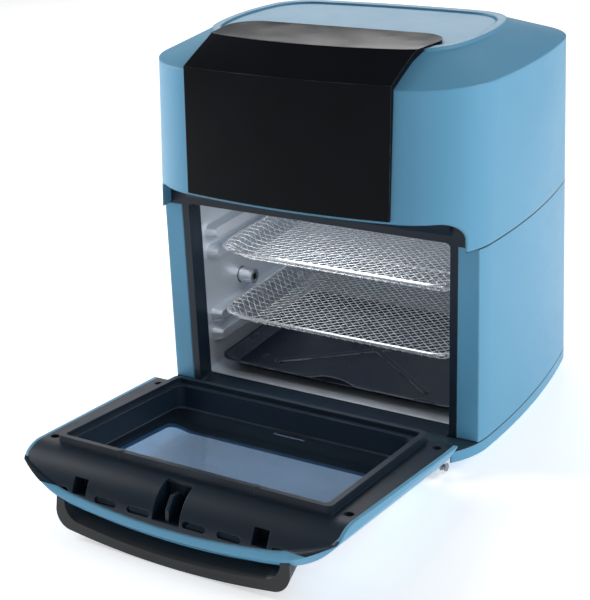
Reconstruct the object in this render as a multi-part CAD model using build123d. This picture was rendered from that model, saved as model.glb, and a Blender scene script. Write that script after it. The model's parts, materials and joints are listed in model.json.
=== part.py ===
from build123d import *
from math import cos, pi, radians, sin, sqrt
import os

# Rotisserie oven, millimetres. Everything is drawn with y = 0 on the plane where the door
# meets the body and -y towards the user, then moved once so that the origin is the middle
# of the footprint on the table.
origin_shift = -108.0

# Body
half_width = 170.0
front_y = -56.5
back_y = 270.0
base_bottom = 14.0
base_top = 25.0
middle_seam = 208.0
chamfer_start = 346.5
chamfer_end = 366.0
chamfer_run = 39.0
rear_run_factor = 1.45
glass_top = 370.0
glass_bottom = 238.5
glass_half = 98.8
glass_proud_low = 2.2
glass_proud_high = 4.6
side_draft = 0.008
lower_draft = 0.010
upper_draft = 0.080
back_draft = 0.080
front_bow = 18.0
side_bow = 14.5
back_bow = 6.0
front_radius = 74.0
rear_radius = 62.0
wall = 2.8
clearance = 0.4

# Opening, cavity and the shelves in it
opening_half = 132.6
opening_bottom = 25.0
opening_top = 209.0
tunnel_depth = 19.0
cavity_half = 138.5
cavity_front = 19.5
cavity_back = 228.0
cavity_floor = 25.6
cavity_ceiling = 238.0
sheet = 0.8
rib_heights = (167.5, 147.0, 80.0, 59.5)
rib_half_height = 5.0
rib_reach = 128.0
rib_front = 37.0
rib_back = 205.0
tray_half = 130.0
tray_front = 27.0
tray_back = 218.0
tray_radius = 30.0
tray_wire = 1.8
tray_depth = 14.0
tray_lift = rib_half_height + tray_wire + 0.8
upper_rim_z = rib_heights[1] + tray_lift
lower_rim_z = rib_heights[2] + tray_lift
drip_rim_z = 38.5
drip_floor_z = 29.0

# Door, drawn closed. The hinge axis runs along x.
hinge_y = -29.5
hinge_z = 11.2
open_angle = 82.5
door_bottom = 26.0
door_top = 236.0
door_setback = 4.0
door_half_low = 158.5
door_half_high = 150.3
door_corner = 16.0
door_tuck_top = 110.0
door_tuck_y = -41.0
nose_radius = 32.0
door_face = -1.0
skin = 3.0
band = 8.5
bevel = 6.0
bevel_start = 228.0
door_rim_half = 131.4
door_rim_low = 26.4
door_rim_high = 207.2
door_rim_y = 6.5
window_half = 122.0
window_low = 37.0
window_high = 197.0
inner_pane_y = -15.0
pane = 4.0
outer_pane_half = 124.0
outer_pane_low = 42.0
outer_pane_high = 184.0
lug_x = 132.0
screw_spots = ((-150, 60), (150, 60), (-150, 200), (150, 200), (-60, 248), (60, 248))
arm_x = 141.0
pin_radius = 2.5

door_screw_spots = ((-144.5, 39), (144.5, 39), (-141.5, 196), (141.5, 196))

# Handle scoop on the door
handle_half = 113.0
handle_low = 190.0
handle_top = 232.5
handle_reach = 21.2
handle_wall = 8.5
handle_skin = 2.5

# Fan unit over the cavity, rotisserie drive at the left wall
fan_y = 122.0
hot_fan_z = 247.0
cooling_fan_z = 316.0
motor_z = 288.0
probe_x = 100.0
probe_y = 200.0
gland_x = -80.0
gland_z = 60.0
gland_neck = 8.0
drive_y = 92.5
drive_z = 103.5


def plan(z, inset=0.0, setback=0.0):
    """Outline of the body at one height: a rounded rectangle with four bowed sides."""
    rise = z - base_top
    upper_rise = max(z - middle_seam, 0.0)
    front = front_y + lower_draft * min(rise, middle_seam - base_top) + upper_draft * upper_rise
    front += inset + setback
    back = back_y - back_draft * rise - inset * rear_run_factor
    half = half_width - side_draft * rise - inset
    side, near, far = half - side_bow, front + front_bow, back - back_bow
    corners = [(-side, near), (side, near), (side, far), (-side, far)]
    middles = [(0, front), (half, (near + far) / 2), (0, back), (-half, (near + far) / 2)]
    with BuildSketch(Plane.XY.offset(z)) as sketch:
        with BuildLine():
            for start, middle, end in zip(corners, middles, corners[1:] + corners[:1]):
                ThreePointArc(start, middle, end)
        make_face()
        fillet(sketch.vertices().group_by(Axis.Y)[0], front_radius - 0.5 * inset)
        fillet(sketch.vertices().group_by(Axis.Y)[-1], rear_radius - 0.5 * inset)
    return sketch.sketch


def tier(low, high, inset_low=0.0, inset_high=0.0, setback=0.0):
    """The body's volume between two heights."""
    return loft([plan(low, inset_low, setback), plan(high, inset_high, setback)], ruled=True)


def hood_volume(inset, top):
    """Upper body with its sloping shoulder, shrunk by an inset."""
    shoulder = chamfer_start - 0.4 * inset
    body = tier(middle_seam - 1, shoulder, inset, inset)
    slope = tier(shoulder, top, inset, inset + chamfer_run)
    return body + slope


def box(x0, x1, y0, y1, z0, z1):
    return Pos((x0 + x1) / 2, (y0 + y1) / 2, (z0 + z1) / 2) * Box(x1 - x0, y1 - y0, z1 - z0)


def both_sides(shape):
    """A shape and its mirror image across the middle of the oven."""
    return [shape, mirror(shape, Plane.YZ)]


def prism_y(face, y0, y1):
    """Extrude a face drawn as (x, z) from y0 to y1."""
    placed = Plane((0, y1, 0), x_dir=(1, 0, 0), z_dir=(0, -1, 0)) * face
    return extrude(placed, amount=y1 - y0)


def prism_x(face, x0, x1):
    """Extrude a face drawn as (y, z) from x0 to x1."""
    placed = Plane((x0, 0, 0), x_dir=(0, 1, 0), z_dir=(1, 0, 0)) * face
    return extrude(placed, amount=x1 - x0)


def window(half, low, high, radius):
    """Rounded rectangle centred in x between two heights."""
    with BuildSketch() as sketch:
        with Locations((0, (low + high) / 2)):
            RectangleRounded(2 * half, high - low, radius)
    return sketch.sketch


def arch(half_low, low, half_high, high, radius):
    """Tapering outline with rounded top corners."""
    with BuildSketch() as sketch:
        Polygon((-half_low, low), (half_low, low), (half_high, high), (-half_high, high), align=None)
        fillet(sketch.vertices().group_by(Axis.Y)[-1], radius)
    return sketch.sketch


def rounded_block(half, y0, y1, z0, z1, radius):
    """Block with upright rounded corners, centred in x."""
    with BuildSketch(Plane.XY.offset(z0)) as sketch:
        with Locations((0, (y0 + y1) / 2)):
            RectangleRounded(2 * half, y1 - y0, radius)
    return extrude(sketch.sketch, amount=z1 - z0)


def rod(start, end, radius):
    """Round bar between two points."""
    direction = Vector(*end) - Vector(*start)
    plane = Plane(start, z_dir=direction)
    return extrude(plane * Circle(radius), amount=direction.length)


def merge(shapes):
    """One shape from a list."""
    result = shapes[0]
    for shape in shapes[1:]:
        result = result + shape
    return result


# ---------------------------------------------------------------- housing
def glass_outline():
    """Plan of the control glass: straight sides that flare a little and round rear corners."""
    with BuildSketch(Plane.XY.offset(middle_seam)) as sketch:
        side, rear = (glass_half, 0), (108, 67)
        right = [(glass_half, -90), side, rear]
        left = [(-x, y) for x, y in reversed(right)]
        Polygon(*right, *left, align=None)
        fillet(sketch.vertices().group_by(Axis.Y)[-1], 26)
    return extrude(sketch.sketch, amount=200)


def control_glass_volume():
    """Black glass that wraps from the front over the shoulder onto the lid."""
    bend = chamfer_start + 4
    face = tier(glass_bottom, bend, -glass_proud_low, -glass_proud_high)
    slope = tier(bend, glass_top, -glass_proud_high, chamfer_run - glass_proud_high)
    inner = hood_volume(0, chamfer_end)
    return (face + slope - inner) & glass_outline()


def upper_shell(glass):
    outer = hood_volume(0, chamfer_end)
    outer = outer - box(-200, 200, -100, 300, 200, middle_seam)
    bead = tier(chamfer_end - 0.5, chamfer_end + 2.6, chamfer_run, chamfer_run + 1.5)
    shell = outer + bead - hood_volume(wall, chamfer_end - wall)
    shell = shell - tier(340, 375, chamfer_run + 8, chamfer_run + 8)
    cut = prism_y(arch(152.3, 200, 151, door_top, door_corner + 1), -90, 0)
    outer_arch = prism_y(arch(154.8, 200, 153.5, door_top + 2.5, door_corner + 3), -90, 3)
    arch_space = prism_y(arch(152.3, 200, 151, door_top, door_corner + 1), -90, 3.5)
    flange = (outer_arch - arch_space) & tier(middle_seam, 245)
    flange = flange - box(-134.5, 134.5, -90, 10, 200, 250)
    shell = (shell + flange) - cut
    shell = shell - box(-60, 60, back_y - 60, back_y + 20, 225, 315)
    return shell - glass


def top_lid(glass):
    plate = tier(chamfer_end - 4, chamfer_end + 1, chamfer_run + 8.6, chamfer_run + 8.6)
    lip = tier(chamfer_end - 8, chamfer_end - 4, chamfer_run + 5, chamfer_run + 5)
    lip = lip - tier(chamfer_end - 9, chamfer_end - 3, chamfer_run + 12, chamfer_run + 12)
    return plate + lip - glass


def lower_shell():
    outer = tier(base_top, middle_seam) & box(-200, 200, 0, 300, 0, 300)
    inner = tier(base_top - 1, middle_seam + 1, wall, wall) & box(-200, 200, wall, 300, 0, 300)
    opening = box(-140, 140, -10, 10, 0, 300)
    gland_hole = rod((gland_x, back_y - 20, gland_z), (gland_x, back_y + 10, gland_z), gland_neck)
    return outer - inner - opening - gland_hole


def rear_cover():
    """Vented panel in the back of the upper shell."""
    panel = tier(225.5, 314.5) - tier(224, 316, wall, wall)
    panel = panel & box(-59.5, 59.5, back_y - 60, back_y + 20, 225.5, 314.5)
    slots = [box(-45, 45, back_y - 60, back_y + 20, z - 2, z + 2) for z in range(238, 306, 8)]
    return panel - merge(slots)


def base_pan():
    """Floor tray of the body, cut back in front so the door can swing."""
    pan = tier(base_bottom, base_top) & box(-200, 200, hinge_y - 5, 300, 0, 60)
    hollow = tier(base_bottom + 3, base_top + 1, wall + 3, wall + 3) & box(-200, 200, 26, 300, 0, 60)
    frame_seat = box(-140, 140, -0.4, 20, 18.6, 60)
    notches = both_sides(box(lug_x - 4.5, arm_x + 4, -60, -12, 0, 60))
    pan = pan - hollow - merge(notches)
    grille = [box(-50, 50, y - 2, y + 2, 0, 30) for y in range(90, 180, 9)]
    drills = [rod((x, y, 0), (x, y, 40), 1.4) for x, y in screw_spots]
    return pan - frame_seat - merge(grille) - merge(drills)


def feet():
    spots = [(-118, 22), (118, 22), (-118, 222), (118, 222)]
    result = []
    for x, y in spots:
        with BuildSketch(Plane.XZ.offset(-y)) as sketch:
            with BuildLine():
                Polyline((0, 0), (11, 0), (12.5, 1.5), (14, base_bottom), (0, base_bottom), (0, 0))
            make_face()
        foot = revolve(sketch.sketch, Axis((0, y, 0), (0, 0, 1)))
        result.append(Pos(x, 0, 0) * foot)
    return result


def asin_degrees(value):
    """Angle whose sine is the value, in degrees."""
    return Vector(sqrt(1 - value * value), value, 0).get_angle(Vector(1, 0, 0))


def front_frame():
    """Black surround of the opening, with the curved hood that the door's nose tucks under."""
    ring = prism_y(window(139.6, 19, 229, 3) - window(opening_half, opening_bottom, opening_top, 4), 0, 3)
    walls = window(opening_half + 2.4, opening_bottom - 2.4, opening_top + 2.4, 6)
    tunnel = prism_y(walls - window(opening_half, opening_bottom, opening_top, 4), 0, tunnel_depth)
    centre_y = door_face - nose_radius
    centre_z = door_top - nose_radius
    radius = nose_radius + 3

    def hood_face(grow):
        r = radius + grow
        rise = asin_degrees((opening_top - centre_z) / r)
        with BuildSketch() as sketch:
            with BuildLine():
                CenterArc((centre_y, centre_z), r, rise, 90 - rise)
                Polyline((centre_y, centre_z + r), (-90, centre_z + r), (-90, opening_top))
                Line((-90, opening_top), (centre_y + r * cos(radians(rise)), opening_top))
            make_face()
        return sketch.sketch

    inside = hood_volume(wall, chamfer_end)
    hood = prism_x(hood_face(2.4) - hood_face(0), -134.4, 134.4)
    cheek = box(132, 134.4, -60, 2.9, opening_top, 240) - prism_x(hood_face(0), 130, 136)
    block = prism_y(arch(152.1, 150, 150.8, door_top, door_corner + 1), 0, 3)
    block = block & box(132, 200, -5, 5, middle_seam, 240)
    pieces = [ring, tunnel, hood & inside] + both_sides(cheek & inside) + both_sides(block & inside)
    frame = merge(pieces) & box(-200, 200, -90, 40, 19, 245)
    return frame - rod((0, -12, 222), (0, 6, 222), 4.0)


def rib(z, reach):
    """One shelf rib pressed in from the left wall, with sloping ends."""
    h = rib_half_height
    outer = Plane((-cavity_half, 0, 0), x_dir=(0, 1, 0), z_dir=(1, 0, 0))
    middle = (rib_front + rib_back) / 2
    length = rib_back - rib_front
    low = outer * Pos(middle, z) * RectangleRounded(length + 10, 2 * h + 6, 6)
    high = outer.offset(cavity_half - reach) * Pos(middle, z) * RectangleRounded(length, 2 * h, 4)
    return loft([low, high], ruled=True)


def cavity_liner():
    """Sheet steel box of the cooking space with four pressed ribs on each wall."""
    outer = rounded_block(cavity_half, cavity_front, cavity_back, cavity_floor, cavity_ceiling, 14)
    inner_half = cavity_half - sheet
    inner_floor = cavity_floor + sheet
    inner_ceiling = cavity_ceiling - sheet
    inner = rounded_block(inner_half, cavity_front - 30, cavity_back - sheet, inner_floor, inner_ceiling, 13.2)
    front = box(-200, 200, 0, cavity_front, 0, 300)
    mouth = rounded_block(inner_half, -20, 60, inner_floor, inner_ceiling, 1)
    inner = inner + (mouth - box(-200, 200, 45, 80, 0, 300))
    liner = outer + box(-cavity_half, cavity_half, cavity_front, 40, cavity_floor, cavity_ceiling) - inner - front
    for z in rib_heights:
        outside = rib(z, rib_reach)
        inside = Pos(-sheet, 0, 0) * rib(z, rib_reach)
        liner = liner + merge(both_sides(outside & box(-cavity_half + 0.01, 0, 0, 300, 0, 300)))
        liner = liner - merge(both_sides(inside))
    liner = liner - Pos(0, fan_y, cavity_ceiling) * Cylinder(62, 10)
    liner = liner - rod((-150, drive_y, drive_z), (-130, drive_y, drive_z), 8.5)
    liner = liner - rod((130, drive_y, drive_z), (150, drive_y, drive_z), 8.5)
    return liner - rod((probe_x, probe_y, cavity_ceiling - 5), (probe_x, probe_y, cavity_ceiling + 5), 3.2)


def heat_shield():
    """Folded cover over the hot fan's chamber."""
    upright = (Align.CENTER, Align.CENTER, Align.MIN)
    outer = Pos(0, fan_y, cavity_ceiling) * Cylinder(96, 26, align=upright)
    inner = Pos(0, fan_y, cavity_ceiling - 1) * Cylinder(95, 26.2, align=upright)
    flange = Pos(0, fan_y, cavity_ceiling) * Cylinder(104, 0.8, align=upright)
    shield = outer + flange - inner
    return shield - Pos(0, fan_y, cavity_ceiling + 20) * Cylinder(6, 20)


def heater_coil():
    """Two-turn tubular heater under the ceiling, with its cold ends going up."""
    z = cavity_ceiling - 10
    turns = [Pos(0, fan_y, z) * Torus(r, 3.2) for r in (52, 72)]
    link = rod((50, fan_y + 12, z), (72, fan_y + 12, z), 3.2)
    ends = []
    for reach in (0.7 * 52, 0.7 * 72):
        ends.append(rod((reach, fan_y - reach, z), (reach, fan_y - reach, cavity_ceiling - sheet), 3.2))
    return merge(turns + [link] + ends)


def heater_brackets():
    z = cavity_ceiling - sheet
    result = []
    for angle in (200, 320, 90):
        x = 62 * cos(radians(angle))
        y = fan_y + 62 * sin(radians(angle))
        bar = Rot(0, 0, angle) * box(-17, 17, -4, 4, 0, 1.2)
        post = Rot(0, 0, angle) * box(-2, 2, -4, 4, 1.2, 16)
        bracket = Pos(x, y, z - 16) * (bar + post)
        result.append(bracket)
    return result


def fan_guard():
    """Pressed steel grille under the heater."""
    z = cavity_ceiling - 20
    disc = Pos(0, fan_y, z) * Cylinder(92, 1.0)
    rim = Pos(0, fan_y, z + 9.1) * (Cylinder(92, 18.2) - Cylinder(91, 20))
    holes = []
    for ring, count in ((20, 8), (36, 14), (52, 20), (68, 26), (82, 32)):
        with BuildSketch() as sketch:
            with PolarLocations(ring, count):
                SlotOverall(10, 4.2)
        holes.append(Pos(0, fan_y, z - 2) * extrude(sketch.sketch, amount=4))
    return disc + rim - merge(holes)


def fan(radius, hub, height, blades, z, bore):
    """Radial fan: hub, back plate and upright blades."""
    plate = Pos(0, fan_y, z) * Cylinder(radius, 1.0, align=(Align.CENTER, Align.CENTER, Align.MIN))
    boss = Pos(0, fan_y, z) * Cylinder(hub, height + 3, align=(Align.CENTER, Align.CENTER, Align.MIN))
    with BuildSketch(Plane.XY.offset(z)) as sketch:
        with PolarLocations(radius * 0.64, blades):
            Rectangle(radius * 0.68, 1.2)
    vanes = Pos(0, fan_y, 0) * extrude(sketch.sketch, amount=height)
    return plate + boss + vanes - Pos(0, fan_y, z) * Cylinder(bore, 80)


def fan_motor():
    """Shaded-pole motor: laminated stack, two end bells and their bearings."""
    stack = rounded_block(28, fan_y - 26, fan_y + 34, motor_z - 9, motor_z + 9, 3)
    bells = Pos(0, fan_y, motor_z) * Cylinder(21, 34)
    body = stack + bells
    return body - Pos(0, fan_y, motor_z) * Cylinder(3.06, 60)


def motor_plate():
    """Bridge that carries the motor above the heat shield."""
    z = motor_z - 17
    plate = box(-112, 112, fan_y - 22, fan_y + 22, z - 1.5, z)
    legs = both_sides(box(110.5, 112, fan_y - 22, fan_y + 22, cavity_ceiling, z))
    feet_plates = both_sides(box(110.5, 124, fan_y - 22, fan_y + 22, cavity_ceiling, cavity_ceiling + 1.5))
    return merge([plate] + legs + feet_plates) - Pos(0, fan_y, z) * Cylinder(8, 20)


def exhaust_duct():
    """Duct from the cavity to the vents in the rear cover."""
    outer = box(-40, 40, 229, 241, 238, 300)
    inner = box(-38, 38, 230.5, 250, 239.5, 298)
    return outer - inner


def board(x0, x1, y0, y1, z, parts):
    """Circuit board with a few component blocks on it."""
    shape = box(x0, x1, y0, y1, z, z + 1.6)
    for cx, cy, sx, sy, sz in parts:
        shape = shape + box(cx - sx / 2, cx + sx / 2, cy - sy / 2, cy + sy / 2, z + 1.6, z + 1.6 + sz)
    return shape


def control_board():
    flat = board(-85, 85, -35, 35, 0, [(-50, 0, 24, 12, 8), (10, 5, 60, 24, 6), (60, -12, 14, 14, 9)])
    return Pos(0, -23, 296) * Rot(90, 0, 0) * flat


def glass_carrier():
    """Plastic frame behind the front skin that holds the control board."""
    outer = box(-94, 94, -30, -26.5, 256, 336)
    hole = box(-80, 80, -40, -20, 268, 324)
    ribs = both_sides(box(88, 94, -33, -30, 262, 330))
    return merge([outer - hole] + ribs)


def power_board():
    parts = [(60, 195, 30, 22, 26), (100, 180, 18, 30, 20), (80, 215, 40, 10, 16)]
    return board(50, 125, 165, 232, 268, parts)


def rotisserie_gearmotor():
    """Flat gear motor between the cavity wall and the left side of the shell."""
    can = rod((-163, drive_y, drive_z), (-148, drive_y, drive_z), 22)
    gearbox = box(-148, -141, drive_y - 18, drive_y + 30, drive_z - 18, drive_z + 18)
    ears = box(-142.2, -141, drive_y - 34, drive_y + 46, drive_z - 6, drive_z + 6)
    body = can + gearbox + ears
    return body - rod((-170, drive_y, drive_z), (-130, drive_y, drive_z), 4.05)


def drive_socket():
    """Turning coupling with a square socket for the spit."""
    shaft = rod((-158, drive_y, drive_z), (-141, drive_y, drive_z), 4.0)
    head = rod((-141, drive_y, drive_z), (-122, drive_y, drive_z), 7.5)
    square = box(-134, -115, drive_y - 3.2, drive_y + 3.2, drive_z - 3.2, drive_z + 3.2)
    return shaft + head - square


def spit_support():
    """Open bearing cup on the right wall that carries the spit's far end."""
    flange = rod((cavity_half - sheet - 1.2, drive_y, drive_z), (cavity_half - sheet, drive_y, drive_z), 14)
    cup = rod((125, drive_y, drive_z), (cavity_half - sheet, drive_y, drive_z), 9)
    bore = rod((120, drive_y, drive_z), (cavity_half - 3, drive_y, drive_z), 5)
    mouth = box(120, cavity_half - 3, drive_y - 5, drive_y + 5, drive_z, drive_z + 20)
    return flange + cup - bore - mouth


def thermal_cutout():
    body = rod((-probe_x, probe_y, cavity_ceiling), (-probe_x, probe_y, cavity_ceiling + 9), 8)
    ears = Pos(-probe_x, probe_y, cavity_ceiling + 0.5) * Box(28, 8, 1)
    tabs = [Pos(x - probe_x, probe_y, cavity_ceiling + 12.5) * Box(1, 6, 7) for x in (-4.5, 4.5)]
    return merge([body, ears] + tabs)


def temperature_probe():
    tip = rod((probe_x, probe_y, cavity_ceiling - 24), (probe_x, probe_y, cavity_ceiling + 12), 2.4)
    collar = rod((probe_x, probe_y, cavity_ceiling), (probe_x, probe_y, cavity_ceiling + 4), 6)
    return tip + collar


def door_switch():
    """Interlock switch behind the hood, with the guide of its plunger."""
    body = box(-10, 10, 4.5, 20, 213, 231)
    pocket = rod((0, 3, 222), (0, 14, 222), 5.4)
    guide = rod((0, 3.6, 222), (0, 4.5, 222), 8.5)
    return body + guide - pocket


def switch_plunger():
    stem = rod((0, -9.2, 222), (0, 5, 222), 3.4)
    collar = rod((0, 5, 222), (0, 6.5, 222), 4.6)
    return stem + collar


def switch_spring():
    return [Pos(0, y, 222) * Rot(90, 0, 0) * Torus(3.4, 0.5) for y in (7.3, 8.9, 10.5, 12.1)]


def inlet_gland():
    """Rear bush where the supply lead goes in."""
    flange = rod((gland_x, back_y - 3.4, gland_z), (gland_x, back_y + 0.6, gland_z), 11)
    bore = rod((gland_x, back_y - 30, gland_z), (gland_x, back_y + 10, gland_z), 3.8)
    neck = rod((gland_x, back_y - 12, gland_z), (gland_x, back_y - 3.4, gland_z), gland_neck)
    return flange + neck - bore


def hinge_lugs():
    """Hangers under the base that hold the hinge pins."""
    with BuildSketch() as sketch:
        with BuildLine():
            Polyline((-12, base_bottom), (-36, base_bottom), (-36, 9), (-32, 4.6), (-27, 4.6), (-12, base_bottom))
        make_face()
    lug = prism_x(sketch.sketch, lug_x - 10, lug_x - 4.6)
    plate = box(lug_x - 30, lug_x - 4.6, -30, 0, base_bottom - 2.5, base_bottom)
    lug = lug + plate - rod((lug_x - 40, hinge_y, hinge_z), (lug_x + 40, hinge_y, hinge_z), pin_radius)
    return both_sides(lug)


def hinge_pins():
    pin = rod((lug_x - 10, hinge_y, hinge_z), (arm_x + 3, hinge_y, hinge_z), pin_radius)
    head = rod((arm_x + 1.5, hinge_y, hinge_z), (arm_x + 3, hinge_y, hinge_z), pin_radius + 1.2)
    return both_sides(pin + head)


def hinge_springs():
    """Torsion springs that hold the door at its ends of travel."""
    coils = []
    for x in (128.4, 129.8, 131.2, 132.6, 134.0):
        coils.append(Pos(x, hinge_y, hinge_z) * Rot(0, 90, 0) * Torus(4.0, 0.6))
    spring = merge(coils)
    return both_sides(spring)


# ---------------------------------------------------------------- shelves
def tray_path(z, half, front, back, radius):
    """Closed rounded rectangle as a wire."""
    with BuildSketch(Plane.XY.offset(z)) as sketch:
        with Locations((0, (front + back) / 2)):
            RectangleRounded(2 * half, back - front, radius)
    return sketch.sketch


def tray_rim(z):
    path = tray_path(z, tray_half - tray_wire, tray_front + tray_wire, tray_back - tray_wire, tray_radius)
    wire = path.face().outer_wire()
    start = wire @ 0
    section = Plane(start, z_dir=wire % 0) * Circle(tray_wire)
    return sweep(section, path=wire, transition=Transition.ROUND)


def tray_mesh(z):
    """Woven dish as one thin skin, sloping in from the rim to a flat floor."""
    gap = 2 * tray_wire
    skin_gap = gap + 1.4

    def level(height, inset, radius):
        return tray_path(height, tray_half - inset, tray_front + inset, tray_back - inset, radius)

    outer = [level(z, gap, tray_radius - tray_wire), level(z - tray_depth, 22, tray_radius - 12)]
    hollow_top = level(z + 0.01, skin_gap, tray_radius - tray_wire - 1.4)
    hollow_foot = level(z - tray_depth + 1.2, 23.4, tray_radius - 13)
    return loft(outer, ruled=True) - loft([hollow_top, hollow_foot], ruled=True)


def drip_tray():
    """Pressed sheet tray with a raised arch in its front lip and crossed ribs in its floor."""
    half, front, back = 131.0, 28.0, 222.0

    def level(height, inset, radius):
        return tray_path(height, half - inset, front + inset, back - inset, radius)

    outer = loft([level(drip_rim_z, 3, 15), level(drip_floor_z, 12, 10)], ruled=True)
    inner = loft([level(drip_rim_z + 0.01, 4, 14), level(drip_floor_z + 0.8, 13, 9)], ruled=True)
    rim_face = level(drip_rim_z - 0.8, 0, 18) - level(drip_rim_z - 0.8, 4, 14)
    rim = extrude(rim_face, amount=0.8)
    with BuildSketch() as sketch:
        with BuildLine():
            low, high = drip_rim_z - 0.8, drip_rim_z + 3.4
            Spline((-32, low), (-14, high), (14, high), (32, low), tangents=((1, 0), (1, 0)))
            Line((32, low), (-32, low))
        make_face()
    arch_lip = prism_y(sketch.sketch, front, front + 1.0)
    ribs = []
    for sign in (-1, 1):
        bar = Rot(0, 0, sign * 38) * box(-105, 105, -3, 3, 0, 1.2)
        ribs.append(Pos(0, (front + back) / 2, drip_floor_z + 0.7) * bar)
    return merge([outer - inner, rim, arch_lip] + ribs)


# ---------------------------------------------------------------- door
def door_block(inset, top_inset, low=door_bottom, high=door_top):
    """Outer form of the closed door, shrunk by an inset, with a bevel at its top edge."""
    lower = tier(low, bevel_start, inset, inset, door_setback)
    upper = tier(bevel_start, high, inset, top_inset, door_setback)
    return lower + upper


def door_profile(gap):
    """Side view of the door: flat back, round nose on top, tucked-under lower front."""
    radius = nose_radius - gap
    centre_y = door_face - nose_radius
    centre_z = door_top - nose_radius
    with BuildSketch() as sketch:
        with BuildLine():
            CenterArc((centre_y, centre_z), radius, 0, 90)
            Line((centre_y, centre_z + radius), (-90, centre_z + radius))
            Line((-90, centre_z + radius), (-90, door_tuck_top))
            Line((-90, door_tuck_top), (front_y + door_setback, door_tuck_top))
            Line((front_y + door_setback, door_tuck_top), (door_tuck_y, door_bottom))
            Line((door_tuck_y, door_bottom), (door_face - gap, door_bottom))
            Line((door_face - gap, door_bottom), (door_face - gap, centre_z))
        make_face()
    return sketch.sketch


def door_envelope():
    outline = arch(door_half_low, door_bottom, door_half_high, door_top, door_corner)
    return door_block(0, bevel) & prism_x(door_profile(0), -200, 200) & prism_y(outline, -90, 20)


def door_core():
    """Space inside the door's painted skin."""
    outline = arch(door_half_low - skin, door_bottom - 5, door_half_high - skin, door_top + 5, door_corner + 2)
    block = door_block(skin, bevel + band, door_bottom - 5, door_top)
    block = block + tier(door_top - 0.5, door_top + 5, bevel + band, bevel + band, door_setback)
    tuck = Pos(0, skin, 0) * prism_x(door_profile(-30), -200, 200)
    return block & tuck & prism_y(outline, -90, 60)


def door_shell(envelope, core):
    pane_outline = window(outer_pane_half + clearance, outer_pane_low - clearance, outer_pane_high + clearance, 14)
    pane_hole = prism_y(pane_outline, -90, -12)
    return envelope - core - pane_hole


def door_liner(envelope, core):
    """Black inner half of the door with its raised rim, nose, slots and recesses."""
    body = envelope & core
    hollow = prism_x(door_profile(skin), -146, 146) & box(-146, 146, -90, 20, door_bottom + 5, door_top)
    body = body - hollow
    outer = window(door_rim_half, door_rim_low, door_rim_high, 6)
    well = window(window_half, window_low, window_high, 8)
    inner_wall = window(window_half + 2.5, window_low - 2.5, window_high + 2.5, 10)
    crest = window(door_rim_half - 5, door_rim_low + 5, door_rim_high - 5, 4)
    rim = prism_y(outer - crest, door_face, door_rim_y)
    step = prism_y(outer - well, door_face - skin, door_face + 2.5)
    sleeve = prism_y(inner_wall - well, inner_pane_y - pane, door_face)
    body = body - prism_y(well, -60, 10) + rim + step + sleeve
    for x in (-65, 65):
        body = body + rod((x, door_face, door_rim_high - 2.2), (x, door_rim_y + 0.8, door_rim_high - 2.2), 2.6)
    for x, z in door_screw_spots:
        boss = rod((x, -10, z), (x, door_face - 0.5, z), 7) & core
        body = body + boss - rod((x, -5.5, z), (x, 5, z), 4.2) - rod((x, -20, z), (x, 0, z), 1.4)
    return nose_details(body, core)


def nose_details(body, core):
    """Vent slots, clip recesses and the rib that works the interlock."""
    slots = []
    for x in (-108, -59, -26.5, 26.5, 59, 108):
        with BuildSketch() as sketch:
            with Locations((x, -26.5)):
                SlotOverall(22, 5.6)
        slots.append(Pos(0, 0, 205) * extrude(sketch.sketch, amount=40))
    clips = both_sides(box(79, 93, -27, -14, 218, 240))
    centre = box(-13, 13, -30, 0, 213, 240)
    body = body - merge(slots) - merge(clips) - centre
    pocket = box(-14.5, 14.5, -31, -7.5, 206.5, 236) & prism_x(door_profile(0.2), -20, 20)
    pocket = pocket - box(-13, 13, -29.5, 0, 208, 240)
    clip_cups = []
    for cup in both_sides(box(77.5, 94.5, -28.5, -12.5, 216.5, 236)):
        clip_cups.append(cup & prism_x(door_profile(0.2), -200, 200))
    clip_holes = both_sides(box(79, 93, -27, -14, 218, 240))
    cups = merge(clip_cups) - merge(clip_holes)
    with BuildSketch() as sketch:
        Polygon((-29.5, 208), (-20, 208), (-9.6, 217), (-9.6, 226), (-20, 233), (-29.5, 233), align=None)
    key = prism_x(sketch.sketch, -1.6, 1.6)
    return body + ((pocket + cups + key) & core)


def outer_glass():
    """Curved front pane, flush with the door's skin."""
    outer = door_block(0.2, bevel)
    inner = door_block(0.2 + pane, bevel + pane)
    shape = window(outer_pane_half, outer_pane_low, outer_pane_high, 14)
    pane_solid = (outer - inner) & prism_y(shape, -90, -15)
    tuck = prism_x(door_profile(0), -200, 200) - Pos(0, pane, 0) * prism_x(door_profile(-30), -200, 200)
    low_part = tuck & door_block(0.2, bevel) & prism_y(shape, -90, -15)
    return (pane_solid & prism_x(door_profile(0), -200, 200)) + low_part


def inner_glass():
    shape = window(window_half + 4, window_low - 4, window_high + 4, 10)
    return prism_y(shape, inner_pane_y - 2 * pane, inner_pane_y - pane)


def glass_seal():
    outer = window(window_half + 5.5, window_low - 5.5, window_high + 5.5, 11.5)
    inner = window(window_half + 4, window_low - 4, window_high + 4, 10)
    return prism_y(outer - inner, inner_pane_y - 2 * pane, inner_pane_y - pane)


def glass_clips():
    """Spring steel clips that press the inner pane against the liner."""
    back = inner_pane_y - 2 * pane
    low = box(-16, 16, back - 1, back, window_low - 5.5, window_low + 3)
    high = box(-16, 16, back - 1, back, window_high - 3, window_high + 5.5)
    return [low, high]


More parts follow.
